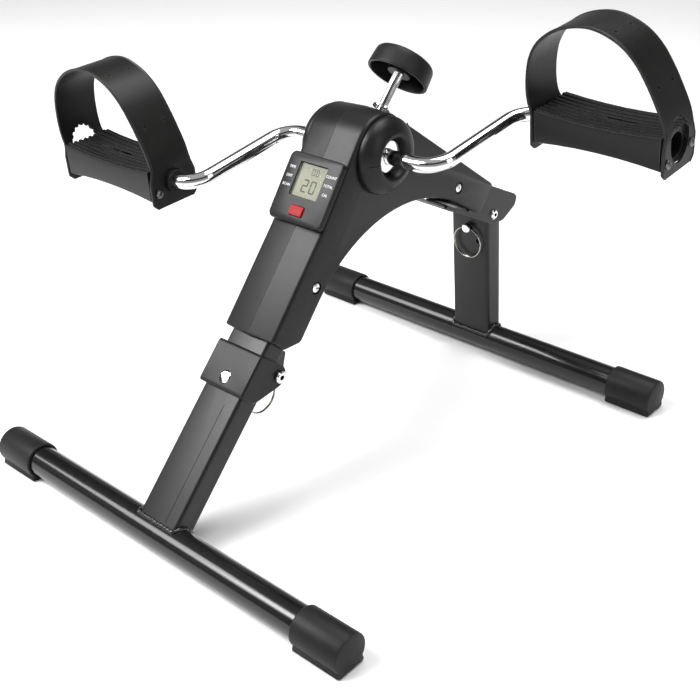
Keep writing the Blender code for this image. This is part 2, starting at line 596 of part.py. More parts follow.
# ---- pedals -----------------------------------------------------------------
STRAP_PATH = ((-54.6, -19.0), (-54.6, -10.0), (-54.6, 2.0), (-55.6, 8.0), (-58.8, 15.5), (-60.6, 25.0),
              (-60.4, 38.0), (-57.6, 51.5), (-51.0, 63.5), (-39.5, 73.0), (-26.0, 78.6), (-11.0, 80.8),
              (2.5, 78.6), (17.0, 72.0), (28.8, 61.5), (38.4, 47.5), (45.8, 34.0), (51.2, 22.5),
              (54.0, 12.0), (54.6, 4.0), (54.6, -8.0), (54.6, -19.0))


def pedal_section(x, length):
    """Closed section at station x: ribbed hollowed top, plain sides, waisted underside."""
    k = (2.0 * x / length) ** 2
    sag = PEDAL_SAG * (1.0 - k)
    w, h = PEDAL_HALF_W, PEDAL_HALF_H
    top, low = h - sag, -h + sag
    pts = [(-w + 0.5, low + 1.5), (-w, low + 4.0), (-w, top - 3.0), (-w + 0.6, top - 1.0)]
    ribs, pitch = 8, 4.9
    for i in range(ribs):
        c = (i - (ribs - 1) / 2.0) * pitch
        dish = -1.2 * (1.0 - (c / w) ** 2)
        pts += [(c - 1.5, top - 1.2 + dish), (c - 1.1, top + dish), (c + 1.1, top + dish), (c + 1.5, top - 1.2 + dish)]
    pts += [(w - 0.6, top - 1.0), (w, top - 3.0), (w, low + 4.0), (w - 0.5, low + 1.5), (w - 3.0, low), (-w + 3.0, low)]
    return pts


def pedal_local(side):
    """Local frame: x from the pedal's middle, y rearwards, z up, origin on the axle."""
    sign = 1.0 if side == "right" else -1.0
    cx = sign * (PEDAL_IN + PEDAL_OUT) / 2.0
    cy = HUB[0] + sign * CRANK_R * math.cos(CRANK_ANGLE)
    cz = HUB[1] + sign * CRANK_R * math.sin(CRANK_ANGLE)
    tilt = PEDAL_TILT[side]

    def place(bm):
        turn = Matrix.Rotation(tilt, 4, "X")
        move = Matrix.Translation((cx, cy, cz))
        bm.transform(move @ turn)
        return bm
    return sign, place, (cx, cy, cz)


def local_rod(x0, x1, y, z, radius, seg=20):
    return turned([(min(x0, x1), 0), (min(x0, x1), radius), (max(x0, x1), radius), (max(x0, x1), 0)],
                  (0, y, z), (1, 0, 0), seg)


def pedal(side):
    sign, place, pivot = pedal_local(side)
    length = PEDAL_OUT - PEDAL_IN
    half = length / 2.0
    rings = []
    for k in range(7):
        x = -half + length * k / 6
        rings.append([(x, y, z) for y, z in pedal_section(x, length)])
    ob = make("pedal_body_" + side, place(loft(rings)), "pedal", pivot)
    sleeve = local_rod(-sign * (half - 1.0), -sign * (half + 8.0), 0, 0, 9.0)
    cut(ob, place(sleeve), op="UNION")
    cut(ob, place(local_rod(-sign * (half + 12), sign * (half + 2), 0, 0, ROD_R + 0.35)))
    cut(ob, place(local_rod(-sign * 4.0, sign * (half + 2), 0, 0, 9.6)))
    for y, z in OUTER_SCREWS:
        cut(ob, place(local_rod(sign * (half - 11), sign * (half + 2), y, z, 1.9, 12)))
    for y, z in INNER_SCREWS:
        cut(ob, place(local_rod(-sign * (half - 11), -sign * (half + 2), y, z, 1.9, 12)))

    make("pedal_strap_" + side, bmesh_strap(place), "strap", pivot)
    strap = bpy.data.objects["pedal_strap_" + side]
    cut(strap, place(local_rod(sign * (half - 1), sign * (half + 6), 0, 0.5, 12.6, 28)))
    cut(strap, place(local_rod(-sign * (half - 1), -sign * (half + 6), 0, 0, 9.5, 24)))
    for y, z in OUTER_SCREWS:
        cut(strap, place(local_rod(sign * (half - 1), sign * (half + 6), y, z, 2.1, 12)))
    for y, z in INNER_SCREWS:
        cut(strap, place(local_rod(-sign * (half - 1), -sign * (half + 6), y, z, 2.1, 12)))

    face = half + PLATE + 0.4
    shape = [(-9.0, 0), (-9.0, 1.5), (0.0, 1.6), (0.0, 3.5), (0.9, 3.3), (1.8, 1.9), (1.9, 0)]
    for i, (y, z) in enumerate(OUTER_SCREWS):
        bm = turned([(sign * (face + a), r) for a, r in shape], (0, y, z), (1, 0, 0), 10)
        make("strap_screw_%s_%d" % (side, i + 1), place(bm), "chrome", pivot)
    for i, (y, z) in enumerate(INNER_SCREWS):
        bm = turned([(-sign * (face + a), r) for a, r in shape], (0, y, z), (1, 0, 0), 10)
        make("strap_screw_%s_%d" % (side, i + 1 + len(OUTER_SCREWS)), place(bm), "chrome", pivot)

    end = 175.0 - (PEDAL_IN + PEDAL_OUT) / 2.0
    keeper = [(end - 5.0, ROD_R + 0.35), (end - 1.6, ROD_R + 0.35), (end - 1.6, 8.8), (end - 5.0, 8.8)]
    make("pedal_keeper_" + side, place(turned([(sign * a, r) for a, r in keeper], (0, 0, 0), (1, 0, 0), 20,
                                              ring=True)), "steel", pivot)


OUTER_SCREWS = ((-16.5, -8.0), (16.5, -3.5))
INNER_SCREWS = ((-16.0, -6.5),)


def bmesh_strap(place):
    """Band swept along the strap's centre line, widening into flat end plates."""
    pts = [Vector(p) for p in STRAP_PATH]
    rings = []
    for i, p in enumerate(pts):
        d = (pts[min(i + 1, len(pts) - 1)] - pts[max(i - 1, 0)]).normalized()
        if p.y < 3.0:
            d = Vector((0.0, 1.0 if p.x < 0 else -1.0))
        nrm = Vector((-d.y, d.x)) * (STRAP_T / 2.0)
        w = STRAP_HALF_W
        if p.y < 12.0:
            w = min(22.6, STRAP_HALF_W + (12.0 - p.y) * 0.32)
        if p.y < -15.0:
            w = 18.6
        rings.append([(p.x + nrm.x, -w, p.y + nrm.y), (p.x + nrm.x, w, p.y + nrm.y),
                      (p.x - nrm.x, w, p.y - nrm.y), (p.x - nrm.x, -w, p.y - nrm.y)])
    return place(loft(rings))


def build():
    clear_scene()
    floor_bars()
    end_caps()
    front_leg()
    rear_leg()
    bracket()
    frame_tubes()
    housing()
    housing_screws()
    console()
    crank()
    resistance()
    for side in ("left", "right"):
        pedal(side)


build()
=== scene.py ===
"""Folding pedal exerciser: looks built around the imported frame.

Shapes are drawn in millimetres: x to the right, y to the rear, z up. piece() shifts them by SHIFT_Y and scales
them to the frame's metres. Pairs are (y, z) in the side view unless a comment says otherwise.
"""
import bpy
import bmesh
import math
import random
from mathutils import Matrix, Vector

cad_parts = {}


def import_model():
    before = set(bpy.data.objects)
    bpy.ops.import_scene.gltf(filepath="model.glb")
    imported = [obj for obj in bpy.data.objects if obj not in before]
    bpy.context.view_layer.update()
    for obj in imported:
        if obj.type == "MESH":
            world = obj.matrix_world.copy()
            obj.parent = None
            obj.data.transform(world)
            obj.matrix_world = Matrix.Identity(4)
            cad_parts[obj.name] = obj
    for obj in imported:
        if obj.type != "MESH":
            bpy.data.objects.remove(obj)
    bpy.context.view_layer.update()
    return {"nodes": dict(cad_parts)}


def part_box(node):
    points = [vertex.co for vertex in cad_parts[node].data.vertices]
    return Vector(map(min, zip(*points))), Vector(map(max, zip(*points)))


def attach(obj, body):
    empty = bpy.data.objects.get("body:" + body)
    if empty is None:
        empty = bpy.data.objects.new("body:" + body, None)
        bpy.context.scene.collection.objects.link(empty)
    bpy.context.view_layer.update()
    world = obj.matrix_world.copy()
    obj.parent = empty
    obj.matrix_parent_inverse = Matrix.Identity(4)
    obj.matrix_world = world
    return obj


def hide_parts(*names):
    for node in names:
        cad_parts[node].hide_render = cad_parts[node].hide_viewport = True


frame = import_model()
NODES = frame["nodes"]
RNG = random.Random(7)

MM, SHIFT_Y = 0.001, 13.4
HUB = (18.5, 246.0)                                       # crank axis
FRONT_BAR, REAR_BAR, BAR_R = (-214.9, 14.5), (178.2, 14.5), 12.7
FRONT_ANGLE = math.radians(45.4)
FD = (math.cos(FRONT_ANGLE), math.sin(FRONT_ANGLE))       # up the front leg
FN = (-FD[1], FD[0])                                      # out of its front face
RU = Vector((172.9 - 178.2, 145.6 - 14.5)).normalized()   # up the rear leg
RN = Vector((-RU.y, RU.x))
STUD_DIR, STUD_OFF = (0.700, 0.714), 3.7
CRANK_R, ROD_R, CRANK_ANGLE, CRANK_BEND_R = 100.0, 5.8, math.radians(11.2), 20.0
CRANK_COS, CRANK_SIN = math.cos(CRANK_ANGLE), math.sin(CRANK_ANGLE)
PEDAL_X, PEDAL_TILT = 161.5, {"left": 2.0, "right": 5.0}  # tilt in degrees
SCREWS = ((-61.5, 165.5), (113.1, 188.6))
CONSOLE, CONSOLE_C, CONSOLE_S = (-41.5, 231.55), 0.599, 0.8007
REAR_PIN_S = (129.6 - 14.5) / RU.y                        # the rear lock pin, measured up the leg
RING_R, RING_WIRE, RING_TURNS = 14.5, 0.56, 1.92
SIDES = (("left", -1), ("right", 1))
HOUSING = [  # y, z, corner radius
    (-111.8, 139.6, 2.0), (-54.7, 204.6, 60.0), (10.9, 291.8, 31.0), (164.8, 176.4, 4.0),
    (144.2, 152.6, 8.0), (16.6, 236.2, 130.0), (-80.2, 125.6, 7.0), (-98.6, 126.6, 4.0)]


def front(s, n):
    """A point s up the front leg from its bar's centre and n out of the leg's front face."""
    return (FRONT_BAR[0] + s * FD[0] + n * FN[0], FRONT_BAR[1] + s * FD[1] + n * FN[1])


def rear(s, n):
    """The same for the rear leg."""
    return (REAR_BAR[0] + s * RU.x + n * RN.x, REAR_BAR[1] + s * RU.y + n * RN.y)


def stud_point(t):
    """A point t along the tension stud's axis."""
    return (HUB[0] + STUD_DIR[0] * t + STUD_DIR[1] * STUD_OFF, HUB[1] + STUD_DIR[1] * t - STUD_DIR[0] * STUD_OFF)


def console_at(u, n):
    """A point u up the console's face and n above it."""
    return (CONSOLE[0] + CONSOLE_C * u - CONSOLE_S * n, CONSOLE[1] + CONSOLE_S * u + CONSOLE_C * n)


def pedal_place(side):
    """The transform from a pedal's own axes to the drawing."""
    sign = 1.0 if side == "right" else -1.0
    at = (sign * PEDAL_X, HUB[0] + sign * CRANK_R * CRANK_COS, HUB[1] + sign * CRANK_R * CRANK_SIN)
    return Matrix.Translation(at) @ Matrix.Rotation(math.radians(PEDAL_TILT[side]), 4, "X")


# ---- materials --------------------------------------------------------------
BROAD_NOISE, MID_NOISE = 28.0, 28.0 * 14
EDGE_WIDTH, BUMP_DEPTH = 0.0011, 0.0002     # metres


def mat(name, colour, rough, metal=0.0, vary=0.35, grain=0.15, scale=1800.0, stretch=(1, 1, 1),
        spread=0.08, wear=0.0, wear_colour=(0.2, 0.2, 0.2), coat=0.0, alpha=1.0, spec=0.5):
    """Noise-varied colour and roughness, fine grain as bump, and lighter edges where wear > 0."""
    m = bpy.data.materials.new(name)
    m.use_nodes = True
    nt = m.node_tree
    N, L = nt.nodes, nt.links
    sh = N["Principled BSDF"]
    sh.inputs["Metallic"].default_value = metal
    sh.inputs["Coat Weight"].default_value = coat
    sh.inputs["Coat Roughness"].default_value = 0.1
    sh.inputs["Alpha"].default_value = alpha
    sh.inputs["Specular IOR Level"].default_value = spec
    tc = N.new("ShaderNodeTexCoord")
    mp = N.new("ShaderNodeMapping"); mp.inputs["Scale"].default_value = stretch
    L.new(tc.outputs["Object"], mp.inputs["Vector"])

    def noise(s, detail, src):
        n = N.new("ShaderNodeTexNoise")
        n.inputs["Scale"].default_value = s
        n.inputs["Detail"].default_value = detail
        L.new(src, n.inputs["Vector"])
        return n.outputs["Fac"]

    wide = noise(BROAD_NOISE, 4.0, tc.outputs["Object"])
    mid = noise(MID_NOISE, 3.0, mp.outputs["Vector"])
    fine = noise(scale, 2.0, mp.outputs["Vector"])
    light = tuple(min(1.0, c * (1 + vary)) for c in colour)
    dark = tuple(c * (1 - vary * 0.6) for c in colour)
    ramp = N.new("ShaderNodeValToRGB")
    for element, at, tone in zip(ramp.color_ramp.elements, (0.32, 0.7), (dark, light)):
        element.position, element.color = at, (*tone, 1)
    add = N.new("ShaderNodeMath"); add.operation = "MULTIPLY_ADD"
    L.new(mid, add.inputs[0]); add.inputs[1].default_value = 0.35
    half = N.new("ShaderNodeMath"); half.operation = "MULTIPLY"; half.inputs[1].default_value = 0.65
    L.new(wide, half.inputs[0]); L.new(half.outputs[0], add.inputs[2]); L.new(add.outputs[0], ramp.inputs[0])
    out = ramp.outputs["Color"]
    if wear > 0.0:
        bev = N.new("ShaderNodeBevel"); bev.samples = 4; bev.inputs["Radius"].default_value = EDGE_WIDTH
        geo = N.new("ShaderNodeNewGeometry")
        dot = N.new("ShaderNodeVectorMath"); dot.operation = "DOT_PRODUCT"
        L.new(bev.outputs["Normal"], dot.inputs[0]); L.new(geo.outputs["Normal"], dot.inputs[1])
        mr = N.new("ShaderNodeMapRange")
        for k, v in (("From Min", 0.995), ("From Max", 0.88), ("To Min", 0.0), ("To Max", wear)):
            mr.inputs[k].default_value = v
        L.new(dot.outputs["Value"], mr.inputs["Value"])
        pat = N.new("ShaderNodeMath"); pat.operation = "MULTIPLY"
        L.new(mr.outputs["Result"], pat.inputs[0]); L.new(mid, pat.inputs[1])
        mix = N.new("ShaderNodeMix"); mix.data_type = "RGBA"
        L.new(pat.outputs[0], mix.inputs["Factor"]); L.new(out, mix.inputs["A"])
        mix.inputs["B"].default_value = (*wear_colour, 1)
        out = mix.outputs["Result"]
    L.new(out, sh.inputs["Base Color"])
    rr = N.new("ShaderNodeMapRange")
    for k, v in (("From Min", 0.3), ("From Max", 0.7),
                 ("To Min", max(0.02, rough - spread)), ("To Max", rough + spread)):
        rr.inputs[k].default_value = v
    L.new(mid, rr.inputs["Value"]); L.new(rr.outputs["Result"], sh.inputs["Roughness"])
    bump = N.new("ShaderNodeBump")
    bump.inputs["Strength"].default_value = grain
    bump.inputs["Distance"].default_value = BUMP_DEPTH
    L.new(fine, bump.inputs["Height"]); L.new(bump.outputs["Normal"], sh.inputs["Normal"])
    return m


M = {
    "paint": mat("black_powder_coat", (0.006, 0.006, 0.0062), 0.20, grain=0.04, scale=600, coat=0.25, spread=0.03,
                 wear=0.35, wear_colour=(0.10, 0.10, 0.10), spec=0.30),
    "leg": mat("satin_leg_paint", (0.010, 0.0098, 0.0096), 0.34, grain=0.05, scale=900, spread=0.03, wear=0.5,
               wear_colour=(0.20, 0.20, 0.195), spec=0.30),
    "shell": mat("satin_moulded_shell", (0.0085, 0.0085, 0.0086), 0.36, grain=0.09, scale=2600, spread=0.025,
                 wear=0.45, wear_colour=(0.10, 0.10, 0.10), spec=0.22),
    "knob": mat("knob_plastic", (0.0085, 0.0085, 0.0085), 0.46, grain=0.12, scale=2200, spread=0.03, wear=0.35,
                wear_colour=(0.08, 0.08, 0.08), spec=0.22),
    "cap": mat("moulded_cap", (0.0100, 0.0100, 0.0098), 0.48, grain=0.16, scale=2000, spread=0.04, wear=0.35,
               wear_colour=(0.08, 0.08, 0.08), spec=0.18),
    "pedal": mat("pedal_plastic", (0.0070, 0.0070, 0.0070), 0.34, grain=0.10, scale=1900, spread=0.05, wear=0.6,
                 wear_colour=(0.12, 0.12, 0.12), spec=0.20),
    "strap": mat("strap_plastic", (0.0085, 0.0083, 0.0080), 0.40, grain=0.08, scale=1500, spread=0.04, wear=0.55,
                 wear_colour=(0.11, 0.11, 0.108), spec=0.22),
    "chrome": mat("chrome_plate", (0.80, 0.80, 0.81), 0.05, metal=1.0, vary=0.04, grain=0.012, scale=1400,
                  stretch=(0.2, 1, 1), spread=0.018),
    "steel": mat("zinc_steel", (0.52, 0.52, 0.51), 0.30, metal=1.0, vary=0.15, grain=0.12, scale=1600,
                 stretch=(0.1, 1, 1)),
    "ring": mat("ring_steel", (0.34, 0.33, 0.30), 0.16, metal=1.0, vary=0.2, grain=0.05, scale=1500),
    "screw": mat("dark_screw", (0.15, 0.15, 0.15), 0.30, metal=1.0, vary=0.2, grain=0.06),
    "red": mat("red_button", (0.27, 0.009, 0.010), 0.36, grain=0.08, vary=0.2, wear=0.4, wear_colour=(0.5, 0.1, 0.09),
               spec=0.12),
    "lens": mat("clear_window", (0.6, 0.65, 0.58), 0.05, grain=0.0, vary=0.02, spread=0.01, alpha=0.05, spec=0.04),
    "lcd": mat("lcd_glass", (0.215, 0.215, 0.155), 0.30, grain=0.03, vary=0.14, scale=3000, spec=0.08),
    "segment": mat("lcd_segment", (0.012, 0.015, 0.012), 0.4, grain=0.03, spec=0.1),
    "print": mat("white_print", (0.72, 0.72, 0.70), 0.5, grain=0.1, vary=0.06),
    "board": mat("solder_mask", (0.03, 0.15, 0.06), 0.35, grain=0.1),
    "felt": mat("felt", (0.2, 0.16, 0.12), 0.9, grain=0.6, scale=900),
    # painted shade: a near-black colour laid where a screw's cross recess, a bolt's well, the leg's hole or its seam
    # line falls into shade
    "painted_shade": mat("painted_shade_black", (0.0015, 0.0015, 0.0015), 0.8, grain=0.1, spec=0.05),
    "weld": mat("painted_weld", (0.007, 0.007, 0.0072), 0.22, grain=0.3, scale=1300, coat=0.25, wear=0.5,
                wear_colour=(0.16, 0.16, 0.155), spec=0.4),
}


# ---- mesh helpers (drawing frame, mm) ---------------------------------------
def fillet(corners, seg=6, chord=1.2):
    """Corners (a, b, radius[, steps]) as a rounded outline."""
    pts, n = [], len(corners)
    for i in range(n):
        p, r = Vector(corners[i][:2]), corners[i][2]
        a = (Vector(corners[i - 1][:2]) - p).normalized()
        b = (Vector(corners[(i + 1) % n][:2]) - p).normalized()
        half = math.acos(max(-1.0, min(1.0, a.dot(b)))) / 2.0
        if r <= 0.0 or half > math.radians(89.0):
            pts.append(tuple(p)); continue
        mid = p + (a + b).normalized() * (r / math.sin(half))
        s = p + a * (r / math.tan(half)) - mid
        e = p + b * (r / math.tan(half)) - mid
        turn = math.atan2(s.x * e.y - s.y * e.x, s.dot(e))
        steps = corners[i][3] if len(corners[i]) > 3 else max(seg, int(r * abs(turn) / chord))
        for k in range(steps + 1):
            t = turn * k / steps
            pts.append((mid.x + s.x * math.cos(t) - s.y * math.sin(t),
                        mid.y + s.x * math.sin(t) + s.y * math.cos(t)))
    return pts


def inset(corners, d):
    """The same corners with every side moved d inward."""
    n, out = len(corners), []
    area = sum(corners[i][0] * corners[(i + 1) % n][1] - corners[(i + 1) % n][0] * corners[i][1]
               for i in range(n))
    side = 1.0 if area > 0.0 else -1.0
    for i in range(n):
        p = Vector(corners[i][:2])
        a = (p - Vector(corners[i - 1][:2])).normalized()
        b = (Vector(corners[(i + 1) % n][:2]) - p).normalized()
        na, nb = Vector((-a.y, a.x)) * side, Vector((-b.y, b.x)) * side
        k = na + nb
        k = k / max(1e-6, k.dot(na))
        q = p + k * d
        r = corners[i][2]
        r = max(0.3, r - d) if (a.x * b.y - a.y * b.x) * side > 0.0 else max(0.3, r + d)
        out.append((q.x, q.y, r, corners[i][3]))
    return out


def loft(rings, closed=False):
    """A skin over rings of equal count, capped unless closed on itself."""
    bm = bmesh.new()
    loops = [[bm.verts.new(p) for p in ring] for ring in rings]
    pairs = list(zip(loops, loops[1:])) + ([(loops[-1], loops[0])] if closed else [])
    for a, b in pairs:
        for i in range(len(a)):
            j = (i + 1) % len(a)
            bm.faces.new((a[i], a[j], b[j], b[i]))
    if not closed:
        bm.faces.new(loops[0]); bm.faces.new(loops[-1])
    return bm


def slab(poly, x0, x1):
    """An outline extruded along x."""
    return loft([[(x0, y, z) for y, z in poly], [(x1, y, z) for y, z in poly]])


def turned(profile, base, axis, seg=64, ring=False):
    """A profile of (distance along axis, radius) turned about the axis through base."""
    axis, base = Vector(axis).normalized(), Vector(base)
    side = axis.orthogonal().normalized(); up = axis.cross(side)
    bm, loops = bmesh.new(), []
    for a, r in profile:
        if r < 1e-6:
            loops.append([bm.verts.new(base + axis * a)]); continue
        loops.append([bm.verts.new(base + axis * a + side * (r * math.cos(2 * math.pi * k / seg))
                                   + up * (r * math.sin(2 * math.pi * k / seg))) for k in range(seg)])
    for a, b in list(zip(loops, loops[1:])) + ([(loops[-1], loops[0])] if ring else []):
        for i in range(seg):
            j = (i + 1) % seg
            if len(a) == 1 and len(b) == 1: continue
            if len(a) == 1: bm.faces.new((a[0], b[j], b[i]))
            elif len(b) == 1: bm.faces.new((a[i], a[j], b[0]))
            else: bm.faces.new((a[i], a[j], b[j], b[i]))
    return bm


def rod(x0, x1, c, r, seg=48):
    """A round bar along x, centred on (y, z) = c."""
    return turned([(x0, 0), (x0, r), (x1, r), (x1, 0)], (0, *c), (1, 0, 0), seg)


def sweep(path, radius, seg=16, closed=False):
    """A round section along a path; radius may depend on the point's number."""
    pts = [Vector(p) for p in path]
    n, rings, ref = len(pts), [], None
    for i, p in enumerate(pts):
        nxt = pts[(i + 1) % n] if closed else pts[min(i + 1, n - 1)]
        prv = pts[i - 1] if closed else pts[max(i - 1, 0)]
        d = (nxt - prv).normalized()
        if ref is None: ref = d.orthogonal().normalized()
        ref = (ref - d * ref.dot(d)).normalized()
        o = d.cross(ref)
        r = radius(i) if callable(radius) else radius
        rings.append([tuple(p + (ref * math.cos(2 * math.pi * k / seg) + o * math.sin(2 * math.pi * k / seg)) * r)
                      for k in range(seg)])
    return loft(rings, closed)


def chaikin(pts, times=2, closed=True):
    """Corner cutting."""
    for _ in range(times):
        out = []
        for i in range(len(pts) if closed else len(pts) - 1):
            a, b = pts[i], pts[(i + 1) % len(pts)]
            out += [tuple(0.8 * p + 0.2 * q for p, q in zip(a, b)),
                    tuple(0.2 * p + 0.8 * q for p, q in zip(a, b))]
        pts = out if closed else [pts[0]] + out[1:-1] + [pts[-1]]
    return pts


def piece(name, bm, look, body, nodes=(), cutters=(), angle=34.0):
    """A finished object from a drawing mesh: cut, shaded, riding on its body, replacing its CAD nodes."""
    def obj(nm, b):
        bmesh.ops.remove_doubles(b, verts=b.verts, dist=1e-4)
        bmesh.ops.recalc_face_normals(b, faces=b.faces)
        for v in b.verts: v.co = (v.co + Vector((0, SHIFT_Y, 0))) * MM
        me = bpy.data.meshes.new(nm); b.to_mesh(me); b.free()
        o = bpy.data.objects.new(nm, me); bpy.context.scene.collection.objects.link(o)
        return o

    o = obj(name, bm)
    tools = []
    for c in cutters:
        t = obj("tool", c); tools.append(t)
        md = o.modifiers.new("cut", "BOOLEAN"); md.operation = "DIFFERENCE"; md.solver = "EXACT"; md.object = t
    if tools:
        dg = bpy.context.evaluated_depsgraph_get(); dg.update()
        me = bpy.data.meshes.new_from_object(o.evaluated_get(dg))
        o.modifiers.clear(); o.data = me
        for t in tools: bpy.data.objects.remove(t)
    o.data.materials.clear(); o.data.materials.append(M[look])
    o.data.shade_smooth(); o.data.set_sharp_from_angle(angle=math.radians(angle))
    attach(o, body)
    if nodes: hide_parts(*nodes)
    return o


def dress(node, look, bevel=0.0, angle=34.0):
    """A CAD node keeps its mesh: smooth shading, a fine edge and its own material."""
    o = NODES[node]; me = o.data
    if "custom_normal" in me.attributes: me.attributes.remove(me.attributes["custom_normal"])
    for p in me.polygons: p.use_smooth = True
    w = o.modifiers.new("weld", "WELD"); w.merge_threshold = 0.000003
    if bevel > 0.0:
        d = o.modifiers.new("flat", "DECIMATE"); d.decimate_type = "DISSOLVE"; d.angle_limit = math.radians(0.6)
        b = o.modifiers.new("edge", "BEVEL"); b.width = bevel * MM; b.segments = 2; b.limit_method = "ANGLE"
        b.angle_limit = math.radians(angle); b.harden_normals = True
    else:
        e = o.modifiers.new("split", "EDGE_SPLIT"); e.split_angle = math.radians(angle)
    me.materials.clear(); me.materials.append(M[look])


# ---- carried-over nodes ------------------------------------------------------
KEEP = {
    "paint": ["front_floor_bar", "rear_floor_bar", "front_hinge_lug"],
    "leg": ["front_leg_tube", "rear_leg_tube", "frame_front_tube", "rear_bracket"],
    "shell": ["front_hinge_block", "console_case"],
    "cap": ["front_cap_left", "front_cap_right", "rear_cap_left", "rear_cap_right", "speed_sensor"],
    "pedal": ["pedal_body_left", "pedal_body_right"],
    "chrome": ["front_pivot_bolt", "front_lock_pin", "rear_pivot_bolt", "rear_lock_pin", "housing_screw_front",
               "housing_screw_rear", "crank_washer_left", "crank_washer_right", "tension_washer"],
    "steel": ["rear_bracket_plate", "frame_rear_tube", "bearing_plate_left", "bearing_plate_right",
              "crank_bushing_left", "crank_bushing_right", "friction_drum", "crank_magnet", "battery",
              "pedal_keeper_left", "pedal_keeper_right"],
    "screw": ["strap_screw_%s_%d" % (s, i) for s in ("left", "right") for i in (1, 2, 3)],
    "red": ["start_button"], "lens": ["display_lens"], "lcd": ["lcd_panel"], "board": ["circuit_board"],
    "felt": ["friction_band"],
}
SOFT_EDGE = {"front_hinge_block": 1.5, "rear_bracket": 0.5, "start_button": 0.3, "console_case": 0.3,
             "front_cap_left": 0.7, "front_cap_right": 0.7, "rear_cap_left": 0.7, "rear_cap_right": 0.7}
for look, names in KEEP.items():
    for n in names:
        dress(n, look, SOFT_EDGE.get(n, 0.0))


# ---- housing -----------------------------------------------------------------
ARC_STEPS = [5, 40, 44, 6, 8, 70, 8, 6]
SHELL_RINGS = [(0.0, 0.15), (0.95, 23.0), (1.25, 24.2), (1.75, 25.1), (2.45, 25.7), (3.4, 26.0)]   # inset, x
outline = [(*c, k) for c, k in zip(HOUSING, ARC_STEPS)]
for side, s in SIDES:
    shell = loft([[(s * x, y, z) for y, z in fillet(inset(outline, d))] for d, x in SHELL_RINGS])
    cavity = loft([[(-s * 1.0, y, z) for y, z in fillet(inset(outline, 2.4))],
                   [(s * 23.6, y, z) for y, z in fillet(inset(outline, 3.4))]])
    cuts = [cavity, rod(-30, 30, HUB, 9.2),
            # the front frame tube, and the hinge lug behind it
            slab([front(q, n) for q, n in ((140, -10.4), (190, -10.4), (190, 10.4), (140, 10.4))], -20.4, 20.4),
            slab([front(q, n) for q, n in ((140, -20.8), (168, -20.8), (168, -8), (140, -8))], -18.4, 18.4),
            # the tension stud, and the console's window
            turned([(-14, 0), (-14, 4.5), (14, 4.5), (14, 0)], (0, *stud_point(30.0)), (0, *STUD_DIR), 40),
            slab([console_at(u, n - 5.0) for u, n in ((-14, -9), (15, -9), (15, 6), (-14, 6))], -17.5, 17.5)]
    for centre in SCREWS:
        cuts.append(rod(-30, 30, centre, 2.2, 32))
        if s > 0: cuts.append(rod(24.2, 30, centre, 5.2, 40))
    piece("housing_shell_" + side, shell, "shell", "body", ["housing_" + side], cuts, angle=30)
    bead = [(s * 26.0, HUB[0] + 33.4 * math.cos(a), HUB[1] + 33.4 * math.sin(a))
            for a in [math.radians(t) for t in range(-58, 34, 3)]]
    piece("hub_bead_" + side, sweep(bead, 0.45, 10), "shell", "body")

DOME = [(26.3, 27.6), (26.3, 30.2), (28.2, 30.2), (31.0, 29.4), (34.6, 26.4), (37.4, 22.0), (38.4, 18.2),
        (37.8, 16.2), (35.2, 14.6), (32.6, 13.4), (29.8, 13.2), (29.8, 16.0), (33.6, 19.0), (31.6, 25.2), (28.4, 27.4)]
for side, s in SIDES:
    prof = chaikin([(s * a, r) for a, r in DOME], 2)
    groove = slab([(HUB[0] - 32, HUB[1] - 0.3), (HUB[0] - 17, HUB[1] - 0.3), (HUB[0] - 17, HUB[1] + 0.3),
                   (HUB[0] - 32, HUB[1] + 0.3)], *sorted((s * 34.2, s * 40)))
    piece("hub_dome_" + side, turned(prof, (0, *HUB), (1, 0, 0), 96, ring=True), "shell", "body",
          ["hub_cover_" + side], [groove], angle=40)

# ---- crank: x along the axle, radius from it ---------------------------------------
corners = [(-175.0, -CRANK_R), (-84.0, -CRANK_R), (-76.0, 0.0), (76.0, 0.0), (84.0, CRANK_R), (175.0, CRANK_R)]
pts = [corners[0]]
for i in range(1, 5):
    p, a, b = (Vector(corners[k]) for k in (i, i - 1, i + 1))
    a, b = (a - p).normalized(), (b - p).normalized()
    half = math.acos(a.dot(b)) / 2.0
    mid = p + (a + b).normalized() * (CRANK_BEND_R / math.sin(half))
    s0, e0 = p + a * (CRANK_BEND_R / math.tan(half)) - mid, p + b * (CRANK_BEND_R / math.tan(half)) - mid
    turn = math.atan2(s0.x * e0.y - s0.y * e0.x, s0.dot(e0))
    for k in range(25):
        t = turn * k / 24
        pts.append((mid.x + s0.x * math.cos(t) - s0.y * math.sin(t),
                    mid.y + s0.x * math.sin(t) + s0.y * math.cos(t)))
pts.append(corners[-1])
piece("crank_rod", sweep([(x, HUB[0] + r * CRANK_COS, HUB[1] + r * CRANK_SIN) for x, r in pts], ROD_R, 48),
      "chrome", "crank", ["crankshaft"], angle=50)

# ---- tension knob and threaded stud -------------------------------------------
axis, base = (0, *STUD_DIR), (0, *stud_point(0))
a = 64.8    # the knob's rim, along the stud
outer = [(a, 25.3), (a + 1.0, 25.5), (a + 13.8, 24.6), (a + 16.2, 23.1), (a + 17.5, 20.1)]
inner = [(a + 3.0, 9.4), (a + 12.0, 10.4), (a + 14.4, 12.0), (a + 14.6, 19.5), (a + 13.0, 22.3), (a + 0.6, 23.1),
         (a, 23.3)]
knob = [(a + 17.7, 0)] + chaikin([(a + 17.7, 8)] + outer[::-1] + inner[::-1], 2, False) \
    + [(a + 3.0, 4.3), (a + 12.4, 4.3), (a + 12.4, 0)]
piece("knob_cup", turned(knob, base, axis, 96), "knob", "tension_knob", ["tension_knob"], angle=45)
THREAD_PITCH = 1.25
thread = [(25.0, 0), (25.0, 3.2)]
t = 26.0
while t < 75.5:
    thread += [(t, 3.98), (t + 0.6, 3.45)]
    t += THREAD_PITCH
thread += [(76.8, 3.2), (76.8, 0)]
piece("stud_thread", turned(thread, base, axis, 40), "chrome", "tension_stud", ["tension_stud"], angle=60)

